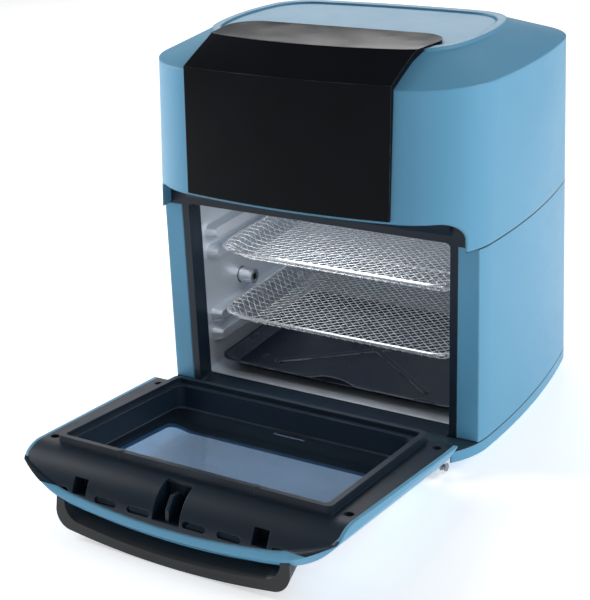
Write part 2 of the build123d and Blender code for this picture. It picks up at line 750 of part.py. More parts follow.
def handle_plan(z, grow, reach):
    """Plan of the scoop: a shallow bow with round ends in front of the door's skin."""
    half = handle_half + grow
    front = front_y + door_setback + 4.4 - reach - grow
    with BuildSketch(Plane.XY.offset(z)) as sketch:
        with BuildLine():
            ThreePointArc((-half, front + 9), (0, front), (half, front + 9))
            Polyline((half, front + 9), (half - 4, 0), (4 - half, 0), (-half, front + 9))
        make_face()
        fillet(sketch.vertices().group_by(Axis.Y)[0], min(16, 7 + reach * 0.5))
    return sketch.sketch


def handle_body(grow, low, reach_low):
    return loft([handle_plan(low, grow - 5, reach_low), handle_plan(handle_top, grow, handle_reach)], ruled=True)


def handle_parts():
    """Black scoop that the fingers reach into, and the grey cover around it."""
    low_door = tier(door_bottom, bevel_start, 0, 0, door_setback)
    top_door = tier(bevel_start, door_top, 0, bevel, door_setback)
    outer = handle_body(0, handle_low, 1.5) - low_door - top_door
    mid = handle_body(-handle_skin, handle_low + 4, 0.5) - low_door - top_door
    hollow_low = handle_plan(handle_low + 14, -handle_wall - 5, 0.5)
    hollow_high = handle_plan(handle_top + 0.1, -handle_wall, handle_reach)
    hollow = loft([hollow_low, hollow_high], ruled=True)
    top_ring = outer & box(-200, 200, -120, 0, handle_top - 3, handle_top + 1)
    cover = outer - mid - top_ring
    scoop = (mid + top_ring) - hollow
    return scoop, cover


def hinge_arms():
    """Steel arms on the door that turn on the pins."""
    hub = rod((arm_x - 6, hinge_y, hinge_z), (arm_x, hinge_y, hinge_z), 6.5)
    bar = box(arm_x - 6, arm_x, hinge_y - 4, hinge_y + 6.5, hinge_z, door_bottom)
    arm = hub + bar - rod((arm_x - 20, hinge_y, hinge_z), (arm_x + 20, hinge_y, hinge_z), pin_radius + 0.05)
    return both_sides(arm)


def screw(x, y, z, direction, length=8.0, head=3.4):
    """Pan-head screw with a cross slot, pointing along a direction."""
    plane = Plane((x, y, z), z_dir=direction)
    local = Cylinder(1.4, length, align=(Align.CENTER, Align.CENTER, Align.MIN))
    top = Pos(0, 0, -1.8) * Cylinder(head, 1.8, align=(Align.CENTER, Align.CENTER, Align.MIN))
    cross = Pos(0, 0, -1.8) * (Box(3.6, 0.8, 1.6) + Box(0.8, 3.6, 1.6))
    return plane * (local + top - cross)


def door_screws():
    return [screw(x, -5.5, z, (0, -1, 0), 4.2, 3.6) for x, z in door_screw_spots]


def base_screws():
    return [screw(x, y, base_bottom, (0, 0, 1), 2.5, 3.2) for x, y in screw_spots]


# ---------------------------------------------------------------- output
def children(shape):
    """All solids of a shape or of a list of shapes, flattened."""
    if isinstance(shape, (list, tuple)):
        return [solid for item in shape for solid in item.solids()]
    return list(shape.solids())


def save(name, shape):
    """Move a node to the oven's origin and write it."""
    solids = [solid.moved(Location((0, origin_shift, 0))) for solid in children(shape)]
    node = solids[0] if len(solids) == 1 else Compound(children=solids)
    export_step(node, f"parts/{name}.step")


def main():
    os.makedirs("parts", exist_ok=True)
    glass = control_glass_volume()
    envelope = door_envelope()
    core = door_core()
    scoop, cover = handle_parts()
    opened = Pos(0, hinge_y, hinge_z) * Rot(open_angle, 0, 0) * Pos(0, -hinge_y, -hinge_z)

    fixed = {
        "control_glass": glass,
        "upper_shell": upper_shell(glass),
        "top_lid": top_lid(glass),
        "lower_shell": lower_shell(),
        "rear_cover": rear_cover(),
        "base_pan": base_pan(),
        "feet": feet(),
        "front_frame": front_frame(),
        "cavity_liner": cavity_liner(),
        "heat_shield": heat_shield(),
        "heater_coil": heater_coil(),
        "heater_brackets": heater_brackets(),
        "fan_guard": fan_guard(),
        "hot_fan": fan(44, 8, 11, 12, hot_fan_z, 3.0),
        "cooling_fan": fan(40, 8, 14, 14, cooling_fan_z, 3.0),
        "motor_shaft": rod((0, fan_y, 244), (0, fan_y, 334), 3.0),
        "fan_motor": fan_motor(),
        "motor_plate": motor_plate(),
        "exhaust_duct": exhaust_duct(),
        "control_board": control_board(),
        "glass_carrier": glass_carrier(),
        "power_board": power_board(),
        "rotisserie_gearmotor": rotisserie_gearmotor(),
        "drive_socket": drive_socket(),
        "spit_support": spit_support(),
        "thermal_cutout": thermal_cutout(),
        "temperature_probe": temperature_probe(),
        "door_switch": door_switch(),
        "switch_plunger": switch_plunger(),
        "switch_spring": switch_spring(),
        "inlet_gland": inlet_gland(),
        "hinge_lugs": hinge_lugs(),
        "hinge_pins": hinge_pins(),
        "hinge_springs": hinge_springs(),
        "base_screws": base_screws(),
        "upper_tray_rim": tray_rim(upper_rim_z),
        "upper_tray_mesh": tray_mesh(upper_rim_z),
        "lower_tray_rim": tray_rim(lower_rim_z),
        "lower_tray_mesh": tray_mesh(lower_rim_z),
        "drip_tray": drip_tray(),
    }
    door = {
        "door_shell": door_shell(envelope, core),
        "door_liner": door_liner(envelope, core),
        "outer_glass": outer_glass(),
        "inner_glass": inner_glass(),
        "glass_seal": glass_seal(),
        "glass_clips": glass_clips(),
        "handle_scoop": scoop,
        "handle_cover": cover,
        "hinge_arms": hinge_arms(),
        "door_screws": door_screws(),
    }
    for name, shape in fixed.items():
        save(name, shape)
    for name, shape in door.items():
        save(name, [opened * solid for solid in children(shape)])


main()
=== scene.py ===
import json
from math import cos, pi, radians, sin

import bmesh
import bpy
from mathutils import Matrix, Vector


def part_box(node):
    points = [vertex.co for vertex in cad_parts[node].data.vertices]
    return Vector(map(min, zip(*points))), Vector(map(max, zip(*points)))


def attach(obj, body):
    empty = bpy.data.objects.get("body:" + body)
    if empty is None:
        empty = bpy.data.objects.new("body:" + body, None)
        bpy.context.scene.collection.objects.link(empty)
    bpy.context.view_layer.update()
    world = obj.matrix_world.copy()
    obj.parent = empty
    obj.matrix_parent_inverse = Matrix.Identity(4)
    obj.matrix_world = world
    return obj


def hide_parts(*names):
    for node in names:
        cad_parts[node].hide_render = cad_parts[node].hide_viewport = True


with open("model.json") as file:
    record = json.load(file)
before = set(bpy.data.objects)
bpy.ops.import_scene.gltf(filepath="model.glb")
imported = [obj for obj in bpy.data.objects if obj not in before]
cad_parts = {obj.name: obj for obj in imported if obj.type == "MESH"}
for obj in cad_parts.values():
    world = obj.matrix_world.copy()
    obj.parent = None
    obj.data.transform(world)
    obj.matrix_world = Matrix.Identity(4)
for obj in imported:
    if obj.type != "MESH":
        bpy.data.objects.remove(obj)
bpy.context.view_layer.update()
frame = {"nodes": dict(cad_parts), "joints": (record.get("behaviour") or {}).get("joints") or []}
nodes = frame["nodes"]
scene = bpy.context.scene
print("frame loaded:", len(nodes), "nodes")


# short ways to build node trees

def addNode(tree, kind, inputs=None, **settings):
    node = tree.nodes.new(kind)
    for key, value in settings.items():
        setattr(node, key, value)
    for key, value in (inputs or {}).items():
        if isinstance(value, bpy.types.NodeSocket):
            tree.links.new(value, node.inputs[key])
        else:
            node.inputs[key].default_value = value
    return node


def calculate(tree, operation, first, second=0.0):
    return addNode(tree, "ShaderNodeMath", {0: first, 1: second}, operation=operation).outputs[0]


def mixColours(tree, factor, first, second):
    mix = addNode(tree, "ShaderNodeMix", {0: factor, 6: first, 7: second}, data_type="RGBA")
    return mix.outputs[2]


def spread(tree, value, low, high):
    # noise stays near its middle, so that part is stretched over the wanted range
    settings = {"Value": value, "From Min": 0.3, "From Max": 0.7, "To Min": low, "To Max": high}
    return addNode(tree, "ShaderNodeMapRange", settings).outputs["Result"]


def noise(tree, place, size, detail=3.0, stretch=(1, 1, 1)):
    # size is the width of one feature in metres
    mapping = addNode(tree, "ShaderNodeMapping", {"Vector": place, "Scale": stretch})
    settings = {"Vector": mapping.outputs[0], "Scale": 1 / size, "Detail": detail}
    return addNode(tree, "ShaderNodeTexNoise", settings).outputs[0]


def newMaterial(name):
    material = bpy.data.materials.new(name)
    material.use_nodes = True
    tree = material.node_tree
    tree.nodes.clear()
    place = addNode(tree, "ShaderNodeTexCoord").outputs["Object"]
    return material, tree, place


edgeMask = {"samples": 4, "flat": 0.99, "sharp": 0.85}  # flat and sharp: how far two normals agree


def roundedEdge(tree, radius):
    # a normal that rolls over sharp edges, and a mask that is 1 on those edges; the materials use the
    # mask to paint edges lighter, partly as wear and partly as a painted highlight
    settings = {"Radius": radius}
    bevel = addNode(tree, "ShaderNodeBevel", settings, samples=edgeMask["samples"]).outputs[0]
    plain = addNode(tree, "ShaderNodeNewGeometry").outputs["Normal"]
    agree = addNode(tree, "ShaderNodeVectorMath", {0: bevel, 1: plain}, operation="DOT_PRODUCT")
    settings = {
        "Value": agree.outputs["Value"], "From Min": edgeMask["flat"], "From Max": edgeMask["sharp"],
    }
    return bevel, addNode(tree, "ShaderNodeMapRange", settings).outputs["Result"]


def seamShadeMask(tree, place, height, width):
    # 1 in the thin band where two shells meet; that band is painted dark as the shade in the gap
    level = addNode(tree, "ShaderNodeSeparateXYZ", {0: place}).outputs["Z"]
    away = calculate(tree, "ABSOLUTE", calculate(tree, "SUBTRACT", level, height))
    return calculate(tree, "LESS_THAN", away, width / 2)


def finishSurface(tree, inputs):
    shader = addNode(tree, "ShaderNodeBsdfPrincipled", inputs)
    addNode(tree, "ShaderNodeOutputMaterial", {"Surface": shader.outputs[0]})


# materials: moulded plastic, painted or coated sheet, bare metal, glass, boards

mouldedBase = {
    "ior": 1.48, "coatRoughness": 0.12, "scuffDull": 0.05, "bump": 0.6,
    "grainDetail": 4.0, "scuffDetail": 6.0, "scuffStretch": (1, 1, 3),
}
metalBase = {
    "metal": 1.0, "edgePolishAndHighlight": 0.7, "stainDull": 0.08, "bump": 0.5, "brushDetail": 5.0, "stainDetail": 4.0,
}
glassBase = {
    "ior": 1.52, "roughness": (0.02, 0.09), "blend": 0.35, "smearDetail": 5.0, "smearStretch": (1, 3, 1),
}
boardBase = {
    "tracks": 60.0, "trackWidth": 0.03, "dustSize": 0.02, "dust": 0.3,
    "relief": 0.0001, "bump": 0.4, "roughness": (0.3, 0.5),
}


def mouldedSurface(name, look):
    look = {**mouldedBase, **look}
    material, tree, place = newMaterial(name)
    cloud = noise(tree, place, look["cloudSize"])
    grain = noise(tree, place, look["grainSize"], look["grainDetail"])
    scuff = noise(tree, place, look["scuffSize"], look["scuffDetail"], look["scuffStretch"])
    normal, edge = roundedEdge(tree, look["edgeRadius"])
    colour = mixColours(tree, spread(tree, cloud, 0.0, 1.0), look["colour"], look["shade"])
    # edges lighter: scuffed wear, and also a painted highlight along the edge
    wornAndHighlit = calculate(tree, "MULTIPLY", edge, spread(tree, scuff, 0.0, look["edgeWearAndHighlightAmount"]))
    colour = mixColours(tree, wornAndHighlit, colour, look["edgeWearAndHighlightColour"])
    # painted shade: a dark line along each seam height, standing in for the shadow in the gap between the
    # shells
    for height in look.get("shadedSeams", ()):
        gap = seamShadeMask(tree, place, height, look["seamShadeWidth"])
        colour = mixColours(tree, gap, colour, look["seamShadeColour"])
    gloss = spread(tree, cloud, *look["roughness"])
    rough = calculate(tree, "ADD", gloss, spread(tree, scuff, 0.0, look["scuffDull"]))
    bump = {"Height": grain, "Distance": look["grainDepth"], "Strength": look["bump"], "Normal": normal}
    bumped = addNode(tree, "ShaderNodeBump", bump).outputs[0]
    finishSurface(tree, {
        "Base Color": colour, "Roughness": rough, "Normal": bumped, "Metallic": look.get("metal", 0.0),
        "IOR": look["ior"], "Coat Weight": look.get("coat", 0.0), "Coat Roughness": look["coatRoughness"],
    })
    return material


def bareMetal(name, look):
    look = {**metalBase, **look}
    material, tree, place = newMaterial(name)
    brush = noise(tree, place, look["brushSize"], look["brushDetail"], look["brushStretch"])
    stain = noise(tree, place, look["stainSize"], look["stainDetail"])
    normal, edge = roundedEdge(tree, look["edgeRadius"])
    colour = mixColours(tree, spread(tree, stain, 0.0, 1.0), look["colour"], look["shade"])
    # edges brighter: polish, and also a painted highlight along the edge
    polishedAndHighlit = calculate(tree, "MULTIPLY", edge, look["edgePolishAndHighlight"])
    colour = mixColours(tree, polishedAndHighlit, colour, look["edgeWearAndHighlightColour"])
    gloss = spread(tree, brush, *look["roughness"])
    rough = calculate(tree, "ADD", gloss, spread(tree, stain, 0.0, look["stainDull"]))
    bump = {"Height": brush, "Distance": look["brushDepth"], "Strength": look["bump"], "Normal": normal}
    bumped = addNode(tree, "ShaderNodeBump", bump).outputs[0]
    finishSurface(tree, {
        "Base Color": colour, "Roughness": rough, "Normal": bumped, "Metallic": look["metal"],
    })
    return material


def clearGlass(name, look):
    look = {**glassBase, **look}
    material, tree, place = newMaterial(name)
    smear = noise(tree, place, look["smearSize"], look["smearDetail"], look["smearStretch"])
    gloss = spread(tree, smear, *look["roughness"])
    settings = {"Base Color": look["body"], "Roughness": gloss, "IOR": look["ior"]}
    glint = addNode(tree, "ShaderNodeBsdfPrincipled", settings)
    through = addNode(tree, "ShaderNodeBsdfTransparent", {"Color": look["tint"]})
    facing = addNode(tree, "ShaderNodeLayerWeight", {"Blend": look["blend"]}).outputs["Facing"]
    glancing = calculate(tree, "MULTIPLY", facing, look["glancing"])
    film = calculate(tree, "ADD", glancing, spread(tree, smear, *look["film"]))
    mix = addNode(tree, "ShaderNodeMixShader", {0: film, 1: through.outputs[0], 2: glint.outputs[0]})
    addNode(tree, "ShaderNodeOutputMaterial", {"Surface": mix.outputs[0]})
    return material


def laminateBoard(name, look):
    look = {**boardBase, **look}
    material, tree, place = newMaterial(name)
    tracks = addNode(tree, "ShaderNodeTexBrick", {
        "Vector": place, "Scale": look["tracks"], "Mortar Size": look["trackWidth"],
        "Color1": look["colour"], "Color2": look["shade"], "Mortar": look["track"],
    })
    dust = noise(tree, place, look["dustSize"])
    colour = mixColours(tree, spread(tree, dust, 0.0, look["dust"]), tracks.outputs[0], look["shade"])
    bump = {"Height": tracks.outputs[1], "Distance": look["relief"], "Strength": look["bump"]}
    bumped = addNode(tree, "ShaderNodeBump", bump).outputs[0]
    gloss = spread(tree, dust, *look["roughness"])
    finishSurface(tree, {"Base Color": colour, "Roughness": gloss, "Normal": bumped})
    return material


blueShell = mouldedSurface("satinBlue", {
    "colour": (0.118, 0.36, 0.56, 1), "shade": (0.108, 0.34, 0.53, 1), "cloudSize": 0.12,
    "edgeWearAndHighlightColour": (0.3, 0.55, 0.7, 1), "edgeWearAndHighlightAmount": 0.4, "edgeRadius": 0.003, "scuffSize": 0.02,
    "roughness": (0.34, 0.40), "grainSize": 0.0009, "grainDepth": 0.00002,
    # seam heights and colour for a painted shade line at the top and bottom of the lower shell
    "shadedSeams": (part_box("lower_shell")[1].z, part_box("lower_shell")[0].z), "seamShadeWidth": 0.0013,
    "seamShadeColour": (0.01, 0.03, 0.045, 1), "ior": 1.4,
})
# its grey edge colour is mostly a painted highlight along the panel's edges, with some wear
blackGlass = mouldedSurface("panelBlack", {
    "colour": (0.003, 0.0035, 0.005, 1), "shade": (0.004, 0.005, 0.008, 1), "cloudSize": 0.05,
    "edgeWearAndHighlightColour": (0.2, 0.23, 0.27, 1), "edgeWearAndHighlightAmount": 0.9, "edgeRadius": 0.0006, "scuffSize": 0.04,
    "roughness": (0.05, 0.1), "grainSize": 0.03, "grainDepth": 0.00002, "ior": 1.18,
})
blackPlastic = mouldedSurface("slatePlastic", {
    "colour": (0.007, 0.018, 0.034, 1), "shade": (0.005, 0.014, 0.027, 1), "ior": 1.42, "cloudSize": 0.06,
    "edgeWearAndHighlightColour": (0.08, 0.11, 0.15, 1), "edgeWearAndHighlightAmount": 0.6, "edgeRadius": 0.0007, "scuffSize": 0.015,
    "roughness": (0.34, 0.44), "grainSize": 0.0011, "grainDepth": 0.00006,
})
greyPlastic = mouldedSurface("greyPlastic", {
    "colour": (0.010, 0.014, 0.020, 1), "shade": (0.008, 0.011, 0.016, 1), "cloudSize": 0.05,
    "edgeWearAndHighlightColour": (0.2, 0.22, 0.24, 1), "edgeWearAndHighlightAmount": 0.5, "edgeRadius": 0.0007, "scuffSize": 0.015,
    "roughness": (0.36, 0.46), "grainSize": 0.0011, "grainDepth": 0.00006,
})
handleBlack = mouldedSurface("handleBlack", {
    "colour": (0.006, 0.008, 0.012, 1), "shade": (0.004, 0.006, 0.009, 1), "cloudSize": 0.05,
    "edgeWearAndHighlightColour": (0.07, 0.085, 0.10, 1), "edgeWearAndHighlightAmount": 0.5, "edgeRadius": 0.0009, "scuffSize": 0.015,
    "roughness": (0.30, 0.40), "grainSize": 0.0011, "grainDepth": 0.00005,
})
# its near-white edge colour is mostly a painted highlight along the tray's lip, with some wear
nonStick = mouldedSurface("nonStickCoat", {
    "colour": (0.005, 0.011, 0.028, 1), "shade": (0.012, 0.02, 0.038, 1), "cloudSize": 0.03,
    "edgeWearAndHighlightColour": (0.75, 0.78, 0.82, 1), "edgeWearAndHighlightAmount": 1.0, "edgeRadius": 0.0007, "scuffSize": 0.01,
    "roughness": (0.24, 0.34), "grainSize": 0.0006, "grainDepth": 0.00004, "coat": 0.15, "metal": 0.3,
})
rubber = mouldedSurface("softRubber", {
    "colour": (0.02, 0.02, 0.022, 1), "shade": (0.03, 0.03, 0.033, 1), "cloudSize": 0.008,
    "edgeWearAndHighlightColour": (0.07, 0.07, 0.075, 1), "edgeWearAndHighlightAmount": 0.7, "edgeRadius": 0.0006, "scuffSize": 0.006,
    "roughness": (0.6, 0.75), "grainSize": 0.0008, "grainDepth": 0.0001,
})
silicone = mouldedSurface("greySilicone", {
    "colour": (0.22, 0.225, 0.23, 1), "shade": (0.18, 0.185, 0.19, 1), "cloudSize": 0.01,
    "edgeWearAndHighlightColour": (0.3, 0.3, 0.31, 1), "edgeWearAndHighlightAmount": 0.5, "edgeRadius": 0.0004, "scuffSize": 0.006,
    "roughness": (0.5, 0.62), "grainSize": 0.001, "grainDepth": 0.00005,
})
linerSteel = bareMetal("linerSteel", {
    "colour": (0.76, 0.82, 0.89, 1), "shade": (0.66, 0.72, 0.79, 1), "edgeWearAndHighlightColour": (0.85, 0.9, 0.95, 1),
    "brushSize": 0.004, "brushStretch": (1, 1, 14), "brushDepth": 0.00003, "stainSize": 0.05,
    "roughness": (0.34, 0.46), "edgeRadius": 0.001, "metal": 0.7,
})
heaterSteel = bareMetal("heaterSteel", {
    "colour": (0.09, 0.085, 0.085, 1), "shade": (0.14, 0.11, 0.09, 1), "edgeWearAndHighlightColour": (0.2, 0.18, 0.17, 1),
    "brushSize": 0.002, "brushStretch": (1, 1, 1), "brushDepth": 0.00006, "stainSize": 0.012,
    "roughness": (0.45, 0.6), "edgeRadius": 0.0004,
})
motorSteel = bareMetal("motorSteel", {
    "colour": (0.30, 0.31, 0.32, 1), "shade": (0.25, 0.26, 0.27, 1), "edgeWearAndHighlightColour": (0.6, 0.6, 0.6, 1),
    "brushSize": 0.002, "brushStretch": (1, 1, 8), "brushDepth": 0.00003, "stainSize": 0.02,
    "roughness": (0.3, 0.42), "edgeRadius": 0.0005,
})
platedMetal = bareMetal("platedMetal", {
    "colour": (0.75, 0.77, 0.8, 1), "shade": (0.66, 0.68, 0.71, 1), "edgeWearAndHighlightColour": (0.9, 0.91, 0.93, 1),
    "brushSize": 0.002, "brushStretch": (1, 1, 1), "brushDepth": 0.00001, "stainSize": 0.01,
    "roughness": (0.12, 0.2), "edgeRadius": 0.0004,
})
castAluminium = bareMetal("castAluminium", {
    "colour": (0.62, 0.63, 0.65, 1), "shade": (0.52, 0.53, 0.55, 1), "edgeWearAndHighlightColour": (0.8, 0.8, 0.82, 1),
    "brushSize": 0.001, "brushStretch": (1, 1, 1), "brushDepth": 0.00005, "stainSize": 0.02,
    "roughness": (0.32, 0.45), "edgeRadius": 0.0005,
})
chromeWire = bareMetal("chromeWire", {
    "colour": (0.92, 0.94, 0.97, 1), "shade": (0.82, 0.85, 0.89, 1), "edgeWearAndHighlightColour": (0.95, 0.96, 0.98, 1),
    "brushSize": 0.0015, "brushStretch": (1, 1, 1), "brushDepth": 0.00001, "stainSize": 0.012,
    "roughness": (0.2, 0.3), "edgeRadius": 0.0003, "metal": 0.8,
})
doorGlass = clearGlass("doorGlass", {
    "body": (0.02, 0.03, 0.04, 1), "tint": (0.82, 0.89, 0.96, 1), "smearSize": 0.05,
    "glancing": 0.35, "film": (0.05, 0.08),
})
circuitBoard = laminateBoard("circuitBoard", {
    "colour": (0.02, 0.16, 0.07, 1), "shade": (0.015, 0.12, 0.055, 1), "track": (0.05, 0.3, 0.14, 1),
})

finishOf = {
    "blue_shell": blueShell, "black_glass": blackGlass, "black_plastic": blackPlastic,
    "grey_plastic": greyPlastic, "clear_glass": doorGlass, "steel_liner": linerSteel,
    "heater_steel": heaterSteel, "motor_steel": motorSteel, "bright_metal": platedMetal,
    "aluminium_parts": castAluminium, "chrome_wire": chromeWire, "nonstick": nonStick,
    "circuit_board": circuitBoard, "rubber_feet": rubber, "silicone": silicone,
}
# nodes whose finish differs from the rest of their slot
ownFinish = {"hinge_springs": motorSteel, "hinge_pins": motorSteel, "handle_scoop": handleBlack}
for name, part in nodes.items():
    for index, old in enumerate(part.data.materials):
        part.data.materials[index] = ownFinish.get(name, finishOf[old.name])
print("materials set:", len(finishOf) + 1, "finishes on", len(nodes), "nodes")


# camera

cameraSetup = {
    "azimuth": 30.54, "elevation": 22.86, "roll": -2.37,  # degrees
    "aim": (-0.0404, -0.0757, 0.1147), "distance": 1.2764,  # metres
    "lens": 80.74, "farthest": 50,
}


def addCamera(setup):
    turn, rise, roll = (radians(setup[key]) for key in ("azimuth", "elevation", "roll"))
    back = Vector((sin(turn) * cos(rise), -cos(turn) * cos(rise), sin(rise)))
    level = Vector((cos(turn), sin(turn), 0))
    upright = back.cross(level)
    right = level * cos(roll) + upright * sin(roll)
    up = upright * cos(roll) - level * sin(roll)
    data = bpy.data.cameras.new("mainCamera")
    data.lens = setup["lens"]
    data.clip_end = setup["farthest"]
    camera = bpy.data.objects.new("mainCamera", data)
    scene.collection.objects.link(camera)
    camera.matrix_world = Matrix((right, up, back)).transposed().to_4x4()
    camera.location = Vector(setup["aim"]) + back * setup["distance"]
    scene.camera = camera


addCamera(cameraSetup)


# studio

lightSetup = {
    # name: azimuth, elevation, distance, size across, size up, power
    "rightBox": (100, 24, 2.0, 0.8, 1.5, 20),
    "leftBox": (-80, 24, 2.2, 0.9, 1.5, 32),
    "backBox": (208, 28, 2.4, 1.6, 0.9, 14),
    "frontFill": (30, 10, 2.2, 0.4, 0.3, 2.5),
}
studio = {
    "target": (0, -0.02, 0.18), "worldColour": (0.95, 0.97, 1.0, 1), "worldStrength": 0.2,
    "floorSize": 12.0, "floorColour": (0.92, 0.92, 0.92, 1), "floorShade": (0.88, 0.88, 0.89, 1),
    "floorCloud": 0.4, "floorRoughness": (0.6, 0.7), "glowColour": (1, 1, 1, 1), "floorGlow": 0.5,
    "lampHeight": 0.012, "lampSize": 0.16, "lampPower": 0.26,
}


def addSoftBox(name, azimuth, elevation, distance, width, height, power):
    turn, rise = radians(azimuth), radians(elevation)
    away = Vector((sin(turn) * cos(rise), -cos(turn) * cos(rise), sin(rise)))
    data = bpy.data.lights.new(name, "AREA")
    data.shape = "RECTANGLE"
    data.size, data.size_y = width, height
    data.energy = power
    box = bpy.data.objects.new(name, data)
    scene.collection.objects.link(box)
    box.location = Vector(studio["target"]) + away * distance
    box.rotation_mode = "QUATERNION"
    box.rotation_quaternion = (-away).to_track_quat("-Z", "Y")


def addCavityLamp():
    # a soft lamp under the cavity's ceiling shows the liner and the trays
    low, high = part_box("fan_guard")
    lamp = bpy.data.lights.new("cavityLamp", "AREA")
    lamp.size = studio["lampSize"]
    lamp.energy = studio["lampPower"]
    holder = bpy.data.objects.new("cavityLamp", lamp)
    scene.collection.objects.link(holder)
    holder.location = ((low.x + high.x) / 2, low.y, low.z - studio["lampHeight"])


def addAir():
    world = bpy.data.worlds.new("studioAir")
    world.use_nodes = True
    background = world.node_tree.nodes["Background"]
    background.inputs["Color"].default_value = studio["worldColour"]
    background.inputs["Strength"].default_value = studio["worldStrength"]
    scene.world = world


def addFloor():
    half = studio["floorSize"] / 2
    corners = [(-half, -half, 0), (half, -half, 0), (half, half, 0), (-half, half, 0)]
    mesh = bpy.data.meshes.new("floor")
    mesh.from_pydata(corners, [], [(0, 1, 2, 3)])
    floor = bpy.data.objects.new("floor", mesh)
    scene.collection.objects.link(floor)
    material, tree, place = newMaterial("paleFloor")
    cloud = noise(tree, place, studio["floorCloud"])
    colour = mixColours(tree, spread(tree, cloud, 0.0, 1.0), studio["floorColour"], studio["floorShade"])
    finishSurface(tree, {
        "Base Color": colour, "Roughness": spread(tree, cloud, *studio["floorRoughness"]),
        "Emission Color": studio["glowColour"], "Emission Strength": studio["floorGlow"],
    })
    mesh.materials.append(material)


for name, values in lightSetup.items():
    addSoftBox(name, *values)
addCavityLamp()
addAir()
addFloor()
scene.view_settings.view_transform = "Standard"
print("camera and studio ready")


# geometry nodes

def newGeometryTree(name, sizes):
    # sizes: name -> default value, all of them float inputs of the tree
    tree = bpy.data.node_groups.new(name, "GeometryNodeTree")
    tree.interface.new_socket("Geometry", in_out="OUTPUT", socket_type="NodeSocketGeometry")
    for key, value in sizes.items():
        socket = tree.interface.new_socket(key, in_out="INPUT", socket_type="NodeSocketFloat")
        socket.default_value = value
    source = addNode(tree, "NodeGroupInput")
    return tree, source.outputs


def runTree(name, tree, sizes):
    # a mesh made by the tree, as a plain object at the origin
    holder = bpy.data.objects.new(name + "Holder", bpy.data.meshes.new(name + "Holder"))
    scene.collection.objects.link(holder)
    modifier = holder.modifiers.new(name, "NODES")
    modifier.node_group = tree
    for socket in tree.interface.items_tree:
        if socket.in_out == "INPUT" and socket.name in sizes:
            modifier[socket.identifier] = float(sizes[socket.name])
    bpy.context.view_layer.update()
    evaluated = holder.evaluated_get(bpy.context.evaluated_depsgraph_get())
    mesh = bpy.data.meshes.new_from_object(evaluated)
    mesh.name = name
    holder.modifiers.remove(modifier)
    bpy.data.objects.remove(holder)
    made = bpy.data.objects.new(name, mesh)
    scene.collection.objects.link(made)
    return made


def closeTree(tree, geometry, material):
    real = addNode(tree, "GeometryNodeRealizeInstances", {"Geometry": geometry})
    smooth = addNode(tree, "GeometryNodeSetShadeSmooth", {"Geometry": real.outputs[0]})
    painted = addNode(tree, "GeometryNodeSetMaterial", {
        "Geometry": smooth.outputs[0], "Material": material})
    addNode(tree, "NodeGroupOutput", {"Geometry": painted.outputs[0]})


# trays: two families of crossing wires that follow the dish

trayMesh = {
    "pitch": 0.0062, "wire": 0.00042, "weave": 0.00036, "turn": pi / 4, "corner": 0.030,
    "rimGap": 0.0020, "foot": 0.022, "depth": 0.0135, "shoulder": 0.001, "sides": 6, "smoothness": 3,
    "overSize": 1.3,  # the flat net is larger than the tray, because it is turned and then trimmed
}


def vectorMath(tree, operation, first, second=(0, 0, 0)):
    return addNode(tree, "ShaderNodeVectorMath", {0: first, 1: second}, operation=operation).outputs[0]


def wireFamily(tree, size, alongX):
    # one direction of wires: a flat net with the other direction's edges taken out
    count = calculate(tree, "ROUND", calculate(tree, "DIVIDE", size["Span"], size["Pitch"]))
    grid = addNode(tree, "GeometryNodeMeshGrid", {
        "Size X": size["Span"], "Size Y": size["Span"], "Vertices X": count, "Vertices Y": count,
    })
    ends = addNode(tree, "GeometryNodeInputMeshEdgeVertices")
    between = vectorMath(tree, "SUBTRACT", ends.outputs["Position 1"], ends.outputs["Position 2"])
    step = vectorMath(tree, "ABSOLUTE", between)
    parts = addNode(tree, "ShaderNodeSeparateXYZ", {0: step}).outputs
    across = calculate(tree, "GREATER_THAN", parts[1 if alongX else 0], parts[0 if alongX else 1])
    index = addNode(tree, "GeometryNodeInputIndex").outputs[0]
    row = calculate(tree, "FLOOR", calculate(tree, "DIVIDE", index, count))
    column = calculate(tree, "MODULO", index, count)
    parity = calculate(tree, "MODULO", calculate(tree, "ADD", row, column), 2.0)
    # over one wire and under the next, and the other way round in the second direction
    lift = calculate(tree, "SUBTRACT", calculate(tree, "MULTIPLY", parity, 2.0), 1.0)
    bend = calculate(tree, "MULTIPLY", size["Weave"], 1.0 if alongX else -1.0)
    height = calculate(tree, "MULTIPLY", lift, bend)
    offset = addNode(tree, "ShaderNodeCombineXYZ", {"Z": height}).outputs[0]
    woven = addNode(tree, "GeometryNodeSetPosition", {"Geometry": grid.outputs[0], "Offset": offset})
    kept = addNode(tree, "GeometryNodeDeleteGeometry", {
        "Geometry": woven.outputs[0], "Selection": across,
    }, domain="EDGE", mode="EDGE_FACE")
    return kept.outputs[0]


